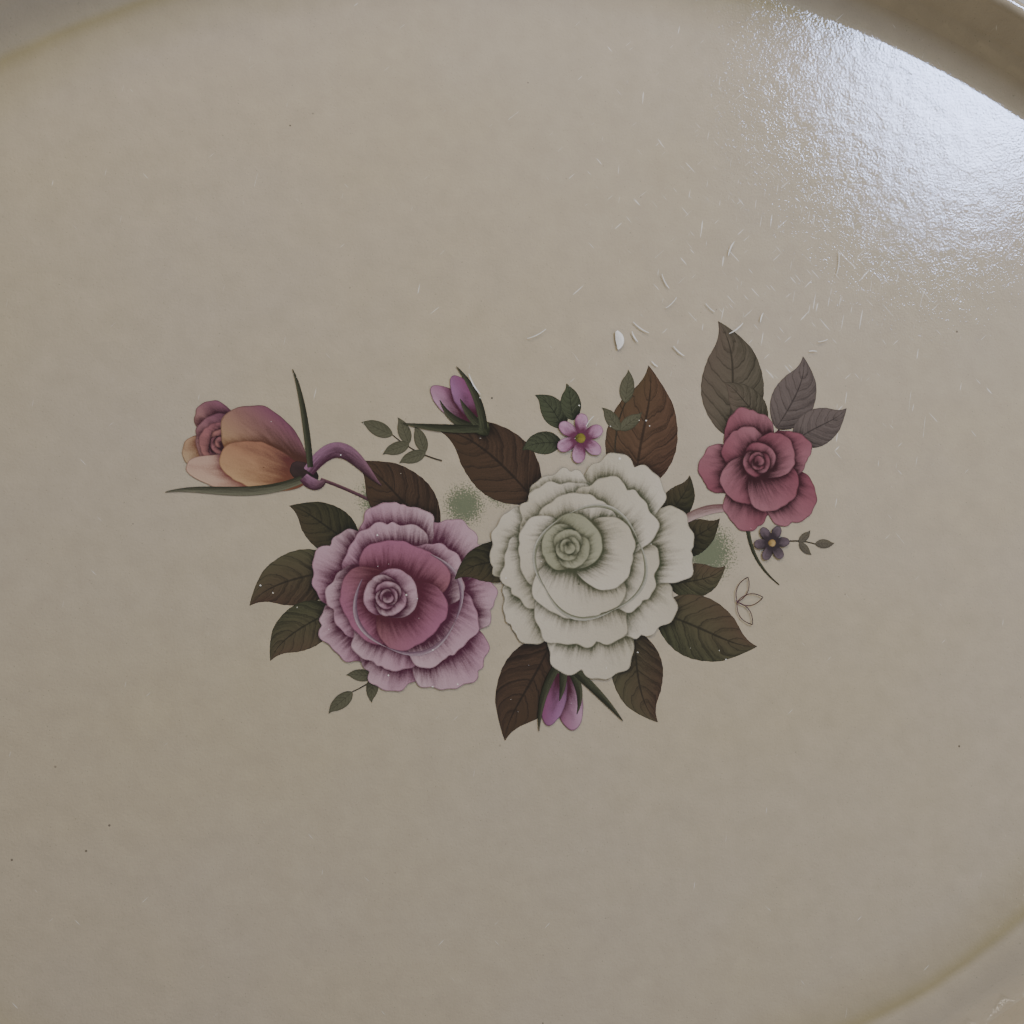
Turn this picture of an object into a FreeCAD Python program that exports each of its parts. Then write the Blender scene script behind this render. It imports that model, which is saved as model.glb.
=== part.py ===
"""Folding tray table: an oval pressed steel tray on two crossing tube frames.

The outer frame carries the back bar, on which the tray hinges. The inner frame carries the
front bar, which snaps into two spring clips under the tray. Millimetres, +Z up, +Y to the
back, origin on the floor under the middle of the tray.
"""
import FreeCAD
import Part
import Sketcher
import math
import os

Vector = FreeCAD.Vector
Rotation = FreeCAD.Rotation
Placement = FreeCAD.Placement
Constraint = Sketcher.Constraint

SIZES = {
    # the whole table
    "height": 660,             # floor to the top of the rim
    "tray_length": 572,        # over the rolled rim, along X
    "tray_depth": 422,         # over the rolled rim, along Y
    # pressed sheet of the tray
    "sheet": 0.8,
    "end_arc": 150,            # radius of the floor's outline at its two ends
    "crease_bend": 6,          # bend radii are at the middle of the sheet
    "ledge": 8,
    "ledge_slope": 20,
    "cove_bend": 9,
    "wall": 8.5,
    "wall_slope": 72,
    "curl_bend": 2.6,
    "curl_turn": 300,
    # crossing leg frames
    "tube": 16,
    "tube_wall": 1,
    "outer_half_width": 185,   # middle of the table to the outer leg's axis
    "side_gap": 2,             # between an outer leg and the inner leg beside it
    "frame_bend": 45,
    "leg_tilt": 22.5,          # each leg from the vertical, in degrees
    "pivot_drop": 285,         # tray's underside down to the pivot
    "front_bar_drop": 31,      # tray's underside down to the front bar's axis
    "nest_gap": 2,             # between the two bars when the legs are shut
    # pivot
    "rivet": 6,
    "rivet_running": 0.05,
    "rivet_head": 12,
    "rivet_dome": 2.4,
    "washer": 15,
    "washer_thick": 1,
    "body_gap": 0.3,           # side play of the inner legs
    # stretchers
    "stretcher": 10,
    "tenon": 6,
    "tenon_head": 10,
    "tenon_dome": 1.4,
    "outer_stretcher_drop": 290,
    "inner_stretcher_drop": 300,
    # foot tips
    "tip_wall": 2.5,           # rubber round the tube
    "tip_flare": 2,            # extra radius of the tip's base
    "tip_grip": 24,            # length of tube inside the tip
    "tip_base": 10,            # tube's end to the floor, along the leg
    "tip_ring": 1.2,
    # clips under the tray
    "knuckle_sheet": 1.2,
    "knuckle_width": 22,
    "knuckle_play": 0.15,
    "knuckle_wrap": 325,
    "knuckle_foot": 26,
    "clip_sheet": 0.9,
    "clip_width": 20,
    "clip_play": 0.3,
    "clip_top_angle": 118,     # where the clip meets the bar, from +Y, seen from the right
    "clip_end_angle": 232,
    "clip_foot": 20,
    "clip_lip": 3,
    "foot_bend": 2,
    "end_room": 2,             # clip's edge to the start of the bar's bend
}

doc = FreeCAD.newDocument("folding_tray_table")
sheet = doc.addObject("Spreadsheet::Sheet", "sizes")
for row, (alias, number) in enumerate(SIZES.items(), 1):
    sheet.set(f"A{row}", alias)
    sheet.set(f"B{row}", str(number))
    sheet.setAlias(f"B{row}", alias)
doc.recompute()


def size(expression):
    """Value of an expression on the spreadsheet's cells, each written as sizes.NAME."""
    value = sheet.evalExpression(expression)
    return float(getattr(value, "Value", value))


# expressions that several pieces share
TIP_TOP = "(sizes.tube + 2 * sizes.tip_wall)"
TIP_FOOT = f"({TIP_TOP} + 2 * sizes.tip_flare)"
RIM_RISE = ("(sizes.crease_bend * (1 - cos(sizes.ledge_slope * 1deg))"
            " + sizes.ledge * sin(sizes.ledge_slope * 1deg)"
            " + sizes.cove_bend * (cos(sizes.ledge_slope * 1deg) - cos(sizes.wall_slope * 1deg))"
            " + sizes.wall * sin(sizes.wall_slope * 1deg)"
            " + sizes.curl_bend * (1 - cos(sizes.wall_slope * 1deg)) + sizes.sheet)")
PIVOT_HEIGHT = f"(sizes.height - {RIM_RISE} - sizes.pivot_drop)"
FOOT_REACH = f"({PIVOT_HEIGHT} / cos(sizes.leg_tilt * 1deg) - sizes.tip_base)"
INNER_HALF_WIDTH = "(sizes.outer_half_width - sizes.tube - sizes.side_gap)"
INNER_REACH = "((sizes.pivot_drop - sizes.front_bar_drop) / cos(sizes.leg_tilt * 1deg))"
OUTER_REACH = f"({INNER_REACH} + sizes.tube + sizes.nest_gap)"


# ---------------------------------------------------------------- sketches and bodies

def new_body(label):
    body = doc.addObject("PartDesign::Body", label)
    body.Label = label
    return body


def origin_feature(body, role):
    return next(f for f in body.Origin.OriginFeatures if f.Role == role)


def new_sketch(body, plane, name):
    made = body.newObject("Sketcher::SketchObject", f"{body.Name}_{name}")
    made.AttachmentSupport = [(origin_feature(body, plane), "")]
    made.MapMode = "FlatFace"
    return made


def bind(sketch, kind, *where, to):
    """Adds a constraint whose value is an expression on the spreadsheet."""
    index = sketch.addConstraint(Constraint(kind, *where, size(to)))
    sketch.setExpression(f"Constraints[{index}]", to)


def outline(body, plane, name, corners):
    """Closed polygon sketch: each corner is a pair of expressions, bound from the origin."""
    made = new_sketch(body, plane, name)
    points = [Vector(size(x), size(y), 0) for x, y in corners]
    for i, point in enumerate(points):
        made.addGeometry(Part.LineSegment(point, points[(i + 1) % len(points)]), False)
    for i in range(len(points)):
        made.addConstraint(Constraint("Coincident", i, 2, (i + 1) % len(points), 1))
    for i, (x, y) in enumerate(corners):
        for kind, axis, expression in (("DistanceX", -2, x), ("DistanceY", -1, y)):
            if abs(size(expression)) < 1e-9:
                made.addConstraint(Constraint("PointOnObject", i, 1, axis))
            else:
                bind(made, kind, -1, 1, i, 1, to=expression)
    return made


def turned(label, corners, axis="X_Axis"):
    """Body turned about its own axis from an outline of (along, radius) corners."""
    body = new_body(label)
    if axis == "Y_Axis":
        corners = [(radius, along) for along, radius in corners]
    section = outline(body, "XY_Plane", "section", corners)
    turn = body.newObject("PartDesign::Revolution", f"{body.Name}_turn")
    turn.Profile = section
    turn.ReferenceAxis = (origin_feature(body, axis), [""])
    turn.Angle = 360
    return body


def bent_strip(steps, gauge, heading=0.0):
    """Section face of a bent sheet, and the centre of each of its bends.

    A step is ("run", length) or ("bend", radius at mid sheet, turn in degrees, left positive).
    """
    x, y, angle = 0.0, 0.0, math.radians(heading)
    left, right, centres = [], [], []
    for step in steps:
        side_x, side_y = -math.sin(angle), math.cos(angle)
        if step[0] == "run":
            next_x = x + step[1] * math.cos(angle)
            next_y = y + step[1] * math.sin(angle)
            for edges, half in ((left, gauge / 2), (right, -gauge / 2)):
                shift = Vector(side_x * half, side_y * half, 0)
                edges.append(Part.LineSegment(Vector(x, y, 0) + shift,
                                              Vector(next_x, next_y, 0) + shift).toShape())
            x, y = next_x, next_y
            continue
        radius, turn = step[1], math.radians(step[2])
        way = math.copysign(1.0, turn)
        centre = Vector(x + side_x * radius * way, y + side_y * radius * way, 0)
        centres.append(centre)
        for edges, half in ((left, gauge / 2), (right, -gauge / 2)):
            reach = radius - way * half
            stations = []
            for share in (0.0, 0.5, 1.0):
                at = angle + turn * share
                stations.append(centre + Vector(math.sin(at), -math.cos(at), 0) * (way * reach))
            edges.append(Part.Arc(*stations).toShape())
        angle += turn
        x = centre.x + math.sin(angle) * way * radius
        y = centre.y - math.cos(angle) * way * radius
    ends = []
    for i, j in ((0, 0), (-1, -1)):
        ends.append(Part.LineSegment(left[i].Vertexes[j].Point, right[i].Vertexes[j].Point).toShape())
    wire = Part.Wire(Part.__sortEdges__(left + right + ends))
    return Part.Face(wire), centres


def add_feature(label, shape):
    made = doc.addObject("Part::Feature", label)
    made.Label = label
    made.Shape = shape
    return made


# ---------------------------------------------------------------- tray

def tray_wall_steps():
    """Bends of the pressed wall, outwards from the edge of the floor."""
    rise = size("sizes.wall_slope") - size("sizes.ledge_slope")
    return [
        ("bend", size("sizes.crease_bend"), size("sizes.ledge_slope")),
        ("run", size("sizes.ledge")),
        ("bend", size("sizes.cove_bend"), rise),
        ("run", size("sizes.wall")),
        ("bend", size("sizes.curl_bend"), -size("sizes.curl_turn")),
    ]


def tray_section():
    """Section of the wall from the floor's edge at x = 0, and how far out it reaches."""
    face, centres = bent_strip(tray_wall_steps(), size("sizes.sheet"))
    return face, centres[-1].x + size("sizes.curl_bend + sizes.sheet / 2")


def oval_arcs(half_length, half_depth, end_radius):
    """Centre, radius, first angle and sweep of the four arcs of an oval."""
    reach = half_length - end_radius
    side_radius = (reach ** 2 + half_depth ** 2 - end_radius ** 2) / (2 * (half_depth - end_radius))
    drop = side_radius - half_depth
    joint = math.degrees(math.atan2(drop, reach))
    return [
        (Vector(reach, 0, 0), end_radius, -joint, 2 * joint),
        (Vector(0, -drop, 0), side_radius, joint, 180 - 2 * joint),
        (Vector(-reach, 0, 0), end_radius, 180 - joint, 2 * joint),
        (Vector(0, drop, 0), side_radius, 180 + joint, 180 - 2 * joint),
    ]


def tray_shape():
    """Flat oval floor with the wall turned round its four arcs, and its underside at z = 0."""
    section, flange = tray_section()
    half = size("sizes.sheet / 2")
    arcs = oval_arcs(size("sizes.tray_length / 2") - flange, size("sizes.tray_depth / 2") - flange,
                     size("sizes.end_arc"))
    rim, edges = [], []
    for centre, radius, first, sweep in arcs:
        edges.append(Part.makeCircle(radius, centre, Vector(0, 0, 1), first, first + sweep))
        face = section.copy()
        face.rotate(Vector(), Vector(1, 0, 0), 90)
        face.translate(Vector(radius, 0, half))
        face.rotate(Vector(), Vector(0, 0, 1), first)
        segment = face.revolve(Vector(), Vector(0, 0, 1), sweep)
        segment.translate(centre)
        rim.append(segment)
    floor = Part.Face(Part.Wire(Part.__sortEdges__(edges))).extrude(Vector(0, 0, 2 * half))
    return floor.fuse(rim).removeSplitter()


underside = size(f"sizes.height - {RIM_RISE}")
pivot = Vector(0, 0, size(PIVOT_HEIGHT))
tray = add_feature("tray", tray_shape())
tray.Placement = Placement(Vector(0, 0, underside), Rotation())


# ---------------------------------------------------------------- leg frames

def frame_placement(lean, across=0.0):
    """Frame's own plane, X across and Y up the legs, leaning back (+1) or forward (-1)."""
    turn = Rotation(Vector(1, 0, 0), 90 - lean * size("sizes.leg_tilt"))
    return Placement(pivot + Vector(across, 0, 0), turn)


def tube_path(body, half_width, reach, foot):
    """Inverted U: leg, bend, top bar, bend, leg, from the pivot's line at y = 0."""
    path = new_sketch(body, "XY_Plane", "path")
    w, d, e, r = size(half_width), size(reach), size(foot), size("sizes.frame_bend")
    path.addGeometry([
        Part.LineSegment(Vector(-w, -e, 0), Vector(-w, d - r, 0)),
        Part.ArcOfCircle(Part.Circle(Vector(r - w, d - r, 0), Vector(0, 0, 1), r), math.pi / 2, math.pi),
        Part.LineSegment(Vector(r - w, d, 0), Vector(w - r, d, 0)),
        Part.ArcOfCircle(Part.Circle(Vector(w - r, d - r, 0), Vector(0, 0, 1), r), 0, math.pi / 2),
        Part.LineSegment(Vector(w, d - r, 0), Vector(w, -e, 0)),
    ], False)
    for joint in ((0, 2, 1, 2), (1, 1, 2, 1), (2, 2, 3, 2), (3, 1, 4, 1)):
        path.addConstraint(Constraint("Tangent", *joint))
    path.addConstraint([Constraint("Vertical", 0), Constraint("Vertical", 4),
                        Constraint("Horizontal", 2), Constraint("Equal", 1, 3)])
    bind(path, "Radius", 1, to="sizes.frame_bend")
    bind(path, "DistanceX", 0, 1, -1, 1, to=half_width)
    bind(path, "DistanceX", -1, 1, 4, 2, to=half_width)
    bind(path, "DistanceY", -1, 1, 2, 1, to=reach)
    bind(path, "DistanceY", 0, 1, -1, 1, to=foot)
    bind(path, "DistanceY", 4, 2, -1, 1, to=foot)
    return path


def leg_frame(label, lean, half_width, reach, stretcher_drop, pivot_hole):
    """Bent tube with its pivot holes and the holes for the stretcher's tenons."""
    body = new_body(label)
    path = tube_path(body, half_width, reach, FOOT_REACH)
    ring = new_sketch(body, "XZ_Plane", "ring")
    ring.AttachmentOffset = Placement(Vector(0, 0, size(FOOT_REACH)), Rotation())
    ring.setExpression("AttachmentOffset.Base.z", FOOT_REACH)
    for i, radius in enumerate(("sizes.tube / 2", "sizes.tube / 2 - sizes.tube_wall")):
        ring.addGeometry(Part.Circle(Vector(-size(half_width), 0, 0), Vector(0, 0, 1), size(radius)), False)
        bind(ring, "Radius", i, to=radius)
        bind(ring, "DistanceX", i, 3, -1, 1, to=half_width)
        ring.addConstraint(Constraint("PointOnObject", i, 3, -1))
    pipe = body.newObject("PartDesign::AdditivePipe", f"{label}_tube")
    pipe.Profile = ring
    pipe.Spine = (path, [])
    doc.recompute()
    holes = new_sketch(body, "YZ_Plane", "holes")
    holes.addGeometry(Part.Circle(Vector(), Vector(0, 0, 1), size(pivot_hole)), False)
    holes.addConstraint(Constraint("Coincident", 0, 3, -1, 1))
    bind(holes, "Radius", 0, to=pivot_hole)
    holes.addGeometry(Part.Circle(Vector(-size(stretcher_drop), 0, 0), Vector(0, 0, 1),
                                  size("sizes.tenon / 2")), False)
    bind(holes, "Radius", 1, to="sizes.tenon / 2")
    bind(holes, "DistanceX", 1, 3, -1, 1, to=stretcher_drop)
    holes.addConstraint(Constraint("PointOnObject", 1, 3, -1))
    drill = body.newObject("PartDesign::Pocket", f"{label}_drill")
    drill.Profile = holes
    drill.SideType = "Symmetric"
    drill.Type = "ThroughAll"
    body.Placement = frame_placement(lean)
    return body


def stretcher(label, lean, half_width, drop):
    """Rod between two legs, its tenons through both walls of each leg and peened outside."""
    shoulder = f"({half_width} - sizes.tube / 2)"
    outside = f"({half_width} + sizes.tube / 2)"
    half = [
        (shoulder, "sizes.stretcher / 2"),
        (shoulder, "sizes.tenon / 2"),
        (outside, "sizes.tenon / 2"),
        (outside, "sizes.tenon_head / 2"),
        (f"{outside} + sizes.tenon_dome * 0.6", "sizes.tenon_head / 2 * 0.8"),
        (f"{outside} + sizes.tenon_dome", "sizes.tenon_head / 2 * 0.4"),
        (f"{outside} + sizes.tenon_dome", "0"),
    ]
    other = [(f"-({along})", radius) for along, radius in reversed(half)]
    body = turned(label, half + other)
    place = frame_placement(lean)
    body.Placement = place.multiply(Placement(Vector(0, -size(drop), 0), Rotation()))
    return body


def foot_tip(label, lean, across):
    """Rubber cup on a leg's end, cut flat where it stands on the floor."""
    below = f"sizes.tip_base + {TIP_FOOT} / 2"
    groove = "(sizes.tip_grip / 4)"
    corners = [
        (f"-({below})", "0"),
        (f"-({below})", f"{TIP_FOOT} / 2"),
        (groove, f"{TIP_FOOT} / 2"),
        (groove, f"{TIP_FOOT} / 2 - sizes.tip_ring"),
        (f"{groove} + sizes.tip_ring", f"{TIP_FOOT} / 2 - sizes.tip_ring"),
        (f"{groove} + sizes.tip_ring", f"{TIP_TOP} / 2 + sizes.tip_ring"),
        (f"2 * {groove}", f"{TIP_TOP} / 2 + sizes.tip_ring / 2"),
        (f"2 * {groove}", f"{TIP_TOP} / 2 - sizes.tip_ring / 2"),
        (f"2 * {groove} + sizes.tip_ring", f"{TIP_TOP} / 2 - sizes.tip_ring / 2"),
        (f"2 * {groove} + sizes.tip_ring", f"{TIP_TOP} / 2"),
        ("sizes.tip_grip - sizes.tip_ring", f"{TIP_TOP} / 2"),
        ("sizes.tip_grip", f"{TIP_TOP} / 2 - sizes.tip_ring"),
        ("sizes.tip_grip", "sizes.tube / 2"),
        ("0", "sizes.tube / 2"),
        ("0", "0"),
    ]
    cup = turned(f"{label}_cup", corners, "Y_Axis")
    place = frame_placement(lean, across)
    cup.Placement = place.multiply(Placement(Vector(0, -size(FOOT_REACH), 0), Rotation()))
    ground = doc.addObject("Part::Box", f"{label}_ground")
    for side in ("Length", "Width", "Height"):
        ground.setExpression(side, f"{TIP_FOOT} * 4")
    foot_y = -lean * pivot.z * math.tan(math.radians(size("sizes.leg_tilt")))
    reach = size(f"{TIP_FOOT} * 4")
    ground.Placement = Placement(Vector(across - reach / 2, foot_y - reach / 2, -reach), Rotation())
    tip = doc.addObject("Part::Cut", label)
    tip.Label = label
    tip.Base = cup
    tip.Tool = ground
    return tip


# ---------------------------------------------------------------- pivot

def pivot_rivet(label, side):
    """Shoulderless rivet: domed head outside the outer leg, clinched head inside the inner leg."""
    outside = "(sizes.outer_half_width + sizes.tube / 2 + sizes.washer_thick)"
    inside = f"({INNER_HALF_WIDTH} - sizes.tube / 2 - sizes.body_gap - sizes.washer_thick)"
    corners = [
        (f"{outside} + sizes.rivet_dome", "0"),
        (f"{outside} + sizes.rivet_dome", "sizes.rivet_head / 2 * 0.35"),
        (f"{outside} + sizes.rivet_dome * 0.75", "sizes.rivet_head / 2 * 0.72"),
        (f"{outside} + sizes.rivet_dome * 0.25", "sizes.rivet_head / 2"),
        (outside, "sizes.rivet_head / 2"),
        (outside, "sizes.rivet / 2"),
        (inside, "sizes.rivet / 2"),
        (inside, "sizes.rivet_head / 2 * 0.85"),
        (f"{inside} - sizes.rivet_dome * 0.7", "sizes.rivet_head / 2 * 0.6"),
        (f"{inside} - sizes.rivet_dome * 0.7", "0"),
    ]
    body = turned(label, corners)
    body.Placement = Placement(pivot, Rotation(Vector(0, 0, 1), 0 if side > 0 else 180))
    return body


def washer(label, side, start, thick, hole="sizes.rivet / 2"):
    """Flat washer on the pivot's axis, from start outwards."""
    corners = [
        (start, hole),
        (f"{start} + {thick}", hole),
        (f"{start} + {thick}", "sizes.washer / 2"),
        (start, "sizes.washer / 2"),
    ]
    body = turned(label, corners)
    body.Placement = Placement(pivot, Rotation(Vector(0, 0, 1), 0 if side > 0 else 180))
    return body


# ---------------------------------------------------------------- clips under the tray

def to_side_view(face, centre, bar):
    """Turns a section from XY into YZ, with its bend's centre on a bar's axis."""
    made = face.copy()
    made.translate(-centre)
    made.rotate(Vector(), Vector(1, 1, 1), 120)
    made.translate(bar)
    return made


def hinge_knuckle(label, side, bar):
    """Strap rolled round the back bar, its foot welded under the tray towards the middle."""
    gauge = size("sizes.knuckle_sheet")
    roll = size("sizes.tube / 2 + sizes.knuckle_play + sizes.knuckle_sheet / 2")
    corner = size("sizes.foot_bend")
    neck = underside - bar.z - gauge / 2 - corner
    steps = [
        ("run", size("sizes.knuckle_foot")),
        ("bend", corner, -90),
        ("run", neck),
        ("bend", roll, size("sizes.knuckle_wrap")),
    ]
    face, centres = bent_strip(steps, gauge)
    width = size("sizes.knuckle_width")
    at = side * (size("sizes.outer_half_width - sizes.frame_bend - sizes.end_room") - width / 2)
    strap = to_side_view(face, centres[-1], bar + Vector(at - width / 2, 0, 0))
    return add_feature(label, strap.extrude(Vector(width, 0, 0)))


def snap_clip(label, side, bar):
    """Spring strap over the front bar's outer side, open towards the middle of the table."""
    gauge = size("sizes.clip_sheet")
    grip = size("sizes.tube / 2 + sizes.clip_play + sizes.clip_sheet / 2")
    top, end = size("sizes.clip_top_angle"), size("sizes.clip_end_angle")
    corner, lip = size("sizes.foot_bend"), size("sizes.clip_lip")
    swing = 180 - top
    shoulder = grip * math.sin(math.radians(top)) + lip * math.sin(math.radians(swing))
    neck = underside - bar.z - gauge / 2 - shoulder - corner
    steps = [
        ("bend", lip, 55),
        ("bend", grip, top - end),
        ("bend", lip, swing),
        ("run", neck),
        ("bend", corner, 90),
        ("run", size("sizes.clip_foot")),
    ]
    face, centres = bent_strip(steps, gauge, heading=end - 90 - 55)
    width = size("sizes.clip_width")
    straight = size(f"{INNER_HALF_WIDTH} - sizes.frame_bend - sizes.end_room")
    at = side * (straight - width / 2)
    strap = to_side_view(face, centres[1], bar + Vector(at - width / 2, 0, 0))
    return add_feature(label, strap.extrude(Vector(width, 0, 0)))


# ---------------------------------------------------------------- the table

kept = [
    tray,
    leg_frame("outer_leg_frame", 1, "sizes.outer_half_width", OUTER_REACH,
              "sizes.outer_stretcher_drop", "sizes.rivet / 2"),
    leg_frame("inner_leg_frame", -1, INNER_HALF_WIDTH, INNER_REACH,
              "sizes.inner_stretcher_drop", "sizes.rivet / 2 + sizes.rivet_running"),
    stretcher("outer_stretcher", 1, "sizes.outer_half_width", "sizes.outer_stretcher_drop"),
    stretcher("inner_stretcher", -1, INNER_HALF_WIDTH, "sizes.inner_stretcher_drop"),
]
tilt = math.radians(size("sizes.leg_tilt"))
back_bar = pivot + Vector(0, math.sin(tilt), math.cos(tilt)) * size(OUTER_REACH)
front_bar = pivot + Vector(0, -math.sin(tilt), math.cos(tilt)) * size(INNER_REACH)
outer_inside = "(sizes.outer_half_width - sizes.tube / 2)"
outer_outside = "(sizes.outer_half_width + sizes.tube / 2)"
inner_inside = f"({INNER_HALF_WIDTH} - sizes.tube / 2)"
for name, side in (("left", -1), ("right", 1)):
    kept += [
        foot_tip(f"outer_foot_tip_{name}", 1, side * size("sizes.outer_half_width")),
        foot_tip(f"inner_foot_tip_{name}", -1, side * size(INNER_HALF_WIDTH)),
        pivot_rivet(f"pivot_rivet_{name}", side),
        washer(f"pivot_outer_washer_{name}", side, outer_outside, "sizes.washer_thick"),
        washer(f"pivot_spacer_{name}", side, f"({outer_inside} - sizes.side_gap + sizes.body_gap)",
               "(sizes.side_gap - sizes.body_gap)"),
        washer(f"pivot_inner_washer_{name}", side,
               f"({inner_inside} - sizes.body_gap - sizes.washer_thick)", "sizes.washer_thick"),
        hinge_knuckle(f"hinge_knuckle_{name}", side, back_bar),
        snap_clip(f"snap_clip_{name}", side, front_bar),
    ]
doc.recompute()


# ---------------------------------------------------------------- checks and files

for made in doc.Objects:
    if {"Invalid", "Error"} & set(made.State):
        raise RuntimeError(f"{made.Label} failed: {made.State}")
for piece in kept:
    if piece.Shape.isNull() or not piece.Shape.isValid():
        raise RuntimeError(f"{piece.Label} has no valid shape")
os.makedirs("parts", exist_ok=True)
for piece in kept:
    piece.Shape.exportStep(f"parts/{piece.Label}.step")
    print(piece.Label, len(piece.Shape.Solids), round(piece.Shape.Volume, 1))
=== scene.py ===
import bpy
import numpy as np
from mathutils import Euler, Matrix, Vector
from math import radians, pi, sin, cos


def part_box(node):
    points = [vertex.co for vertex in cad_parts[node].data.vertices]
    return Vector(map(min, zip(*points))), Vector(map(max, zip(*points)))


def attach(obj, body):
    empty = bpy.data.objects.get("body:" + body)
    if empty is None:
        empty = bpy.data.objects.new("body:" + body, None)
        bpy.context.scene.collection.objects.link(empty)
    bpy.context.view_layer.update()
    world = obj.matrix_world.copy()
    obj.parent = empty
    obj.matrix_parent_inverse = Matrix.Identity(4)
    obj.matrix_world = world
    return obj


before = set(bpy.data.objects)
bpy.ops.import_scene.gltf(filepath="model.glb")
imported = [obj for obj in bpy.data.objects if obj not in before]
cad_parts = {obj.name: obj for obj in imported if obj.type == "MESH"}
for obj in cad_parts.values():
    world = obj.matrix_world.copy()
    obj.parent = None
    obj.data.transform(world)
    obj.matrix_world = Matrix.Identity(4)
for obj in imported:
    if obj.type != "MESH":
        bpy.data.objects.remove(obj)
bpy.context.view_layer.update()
mm = 0.001



def toLinear(hexText, alpha=1.0):
    # sRGB hex to linear: c/12.92 below 0.04045, else ((c + 0.055) / 1.055) ^ 2.4
    c = np.array([int(hexText[i:i + 2], 16) for i in (1, 3, 5)]) / 255
    linear = np.where(c <= 0.04045, c / 12.92, ((c + 0.055) / 1.055) ** 2.4)
    return (*[float(x) for x in linear], alpha)


def addNode(tree, kind, settings=None, inputs=None, links=None, stops=None):
    # makes one shader node: sets its properties and inputs, links (node, socket) pairs into it, and
    # fills its colour ramp from (place, linear colour) stops
    node = tree.nodes.new("ShaderNode" + kind)
    for name, value in (settings or {}).items():
        setattr(node, name, value)
    for name, value in (inputs or {}).items():
        node.inputs[name].default_value = value
    for name, (source, socket) in (links or {}).items():
        tree.links.new(source.outputs[socket], node.inputs[name])
    if stops:
        ramp = node.color_ramp
        while len(ramp.elements) > 1:
            ramp.elements.remove(ramp.elements[-1])
        ramp.elements[0].position, ramp.elements[0].color = stops[0]
        for place, colour in stops[1:]:
            ramp.elements.new(place).color = colour
    return node


def newMaterial(name):
    # an empty material with its shader and output
    material = bpy.data.materials.new(name)
    material.use_nodes = True
    tree = material.node_tree
    tree.nodes.clear()
    shader = addNode(tree, "BsdfPrincipled")
    addNode(tree, "OutputMaterial", links={"Surface": (shader, "BSDF")})
    return material, tree, shader


def grey(level):
    # an opaque grey, the same level in each channel
    return (level, level, level, 1.0)


def gridMesh(name, grids, material, body):
    # one mesh from many (rows, columns, 3) grids, each with its own attribute arrays
    points, faces, extras, start = [], [], {}, 0
    for grid in grids:
        rows, columns = grid["points"].shape[:2]
        points.append(grid["points"].reshape(-1, 3))
        wrap = grid.get("closed", False)
        i, j = np.meshgrid(np.arange(rows - 1), np.arange(columns if wrap else columns - 1), indexing="ij")
        nextJ = (j + 1) % columns
        quads = np.stack([i * columns + j, i * columns + nextJ, (i + 1) * columns + nextJ,
            (i + 1) * columns + j], -1)
        faces.append(quads.reshape(-1, 4) + start)
        for key, value in grid.get("data", {}).items():
            extras.setdefault(key, []).append(np.asarray(value, float).reshape(rows * columns, -1))
        start += rows * columns
    points, faces = np.concatenate(points), np.concatenate(faces)
    mesh = bpy.data.meshes.new(name)
    mesh.from_pydata(points.tolist(), [], faces.tolist())
    mesh.shade_smooth()
    for key, parts in extras.items():
        values = np.concatenate(parts)
        kind = {1: "FLOAT", 3: "FLOAT_VECTOR", 4: "FLOAT_COLOR"}[values.shape[1]]
        field = {1: "value", 3: "vector", 4: "color"}[values.shape[1]]
        mesh.attributes.new(key, kind, "POINT").data.foreach_set(field, values.ravel())
    mesh.materials.append(material)
    mesh.update()
    piece = bpy.data.objects.new(name, mesh)
    bpy.context.scene.collection.objects.link(piece)
    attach(piece, body)


# where the tray's floor is

sheet = 0.8 * mm            # thickness of the tray's steel
creaseInset = 23.15 * mm    # from the outer edge of the rim to the crease round the floor
trayLow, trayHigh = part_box("tray")
floorTop = trayLow.z + sheet
floorCentre = Vector(((trayLow.x + trayHigh.x) / 2, (trayLow.y + trayHigh.y) / 2, floorTop))
creaseHalf = ((trayHigh.x - trayLow.x) / 2 - creaseInset, (trayHigh.y - trayLow.y) / 2 - creaseInset)
print("tray floor at", round(floorTop, 5))


# camera, held over the tray a little left of its middle

cameraPlan = {
    "offset": (-42, -6, 324),       # mm from the middle of the tray's floor
    "turn": (2.6, -7.7, -4.9),      # degrees about X, Y and Z
    "fieldOfView": 53.0,
}
cameraData = bpy.data.cameras.new("camera")
cameraData.sensor_fit = "HORIZONTAL"
cameraData.angle = radians(cameraPlan["fieldOfView"])
cameraData.clip_start = 0.01
camera = bpy.data.objects.new("camera", cameraData)
camera.location = floorCentre + Vector(cameraPlan["offset"]) * mm
camera.rotation_euler = Euler([radians(a) for a in cameraPlan["turn"]])
bpy.context.scene.collection.objects.link(camera)
bpy.context.scene.camera = camera
print("camera placed")


# the flowers of the spray: place in mm from the tray's middle, size in mm, heading in degrees
flowers = {
    "mauveRose": {"x": -32, "y": -20, "size": 29, "turn": 20, "heart": (-0.22, 0.06)},
    "whiteRose": {"x": 27, "y": -13, "size": 34, "turn": 35, "heart": (-0.20, 0.16)},
    "duskyRose": {"x": 86, "y": 12, "size": 20, "turn": 60, "heart": (0.0, 0.15)},
    "peachBud": {"x": -60, "y": 22, "size": 36, "turn": 152},
    "topBud": {"x": -4, "y": 32, "size": 22, "turn": 125},
    "lowBud": {"x": 15, "y": -43, "size": 24, "turn": -97},
    "pinkFlower": {"x": 27, "y": 27, "size": 8, "turn": 20},
    "greyFlower": {"x": 88, "y": -12, "size": 6, "turn": 0},
}


def around(name, angle, share):
    # the point at an angle round a flower, at a share of its size from its middle
    flower = flowers[name]
    reach = flower["size"] * share
    return flower["x"] + reach * cos(radians(angle)), flower["y"] + reach * sin(radians(angle))


# enamel of the tray

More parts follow.
